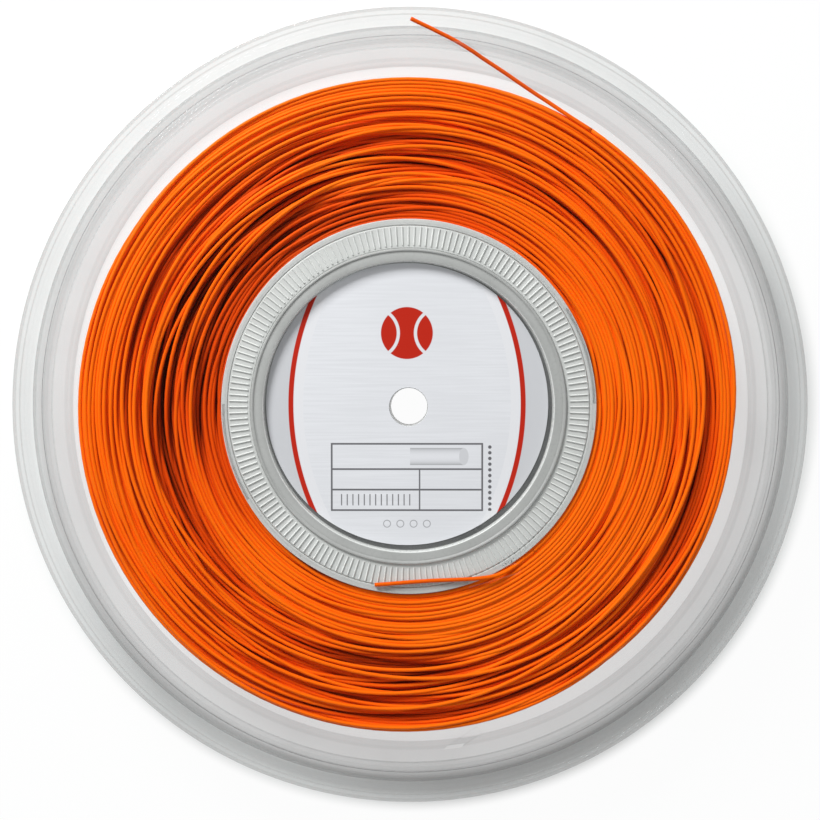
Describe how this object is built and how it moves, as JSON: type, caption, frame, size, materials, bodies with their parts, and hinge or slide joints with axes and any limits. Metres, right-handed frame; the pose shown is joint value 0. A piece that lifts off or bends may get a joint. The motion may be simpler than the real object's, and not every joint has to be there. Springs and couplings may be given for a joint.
{
  "type": "string reel",
  "caption": "Clear plastic reel with flat flanges, stepped rims, ribbed hub rings and label cups, wound with thin orange racket string.",
  "frame": {"origin": "centre of the rear flange's outer face, on the reel's axis, where the reel lies on a surface", "axes": "+Z along the reel's axis towards the front flange; +Y towards the string lock's side; +X to the right seen from the front"},
  "size_m": [0.25, 0.25, 0.026],
  "materials": {
    "clear_plastic": "clear, polished mould surface",
    "hub_plastic": "clear, slightly frosted",
    "label": "satin silver film with plain stripes",
    "string": "smooth extruded monofilament"
  },
  "bodies": {
    "root": {"front_flange": "clear_plastic", "rear_flange": "clear_plastic", "hub_barrel": "clear_plastic", "front_hub_ring": "hub_plastic", "rear_hub_ring": "hub_plastic", "front_label_cup": "hub_plastic", "rear_label_cup": "hub_plastic", "front_label": "label", "string_core": "string", "string_winding": "string", "string_tail": "string", "string_start": "string"}
  },
  "joints": []
}
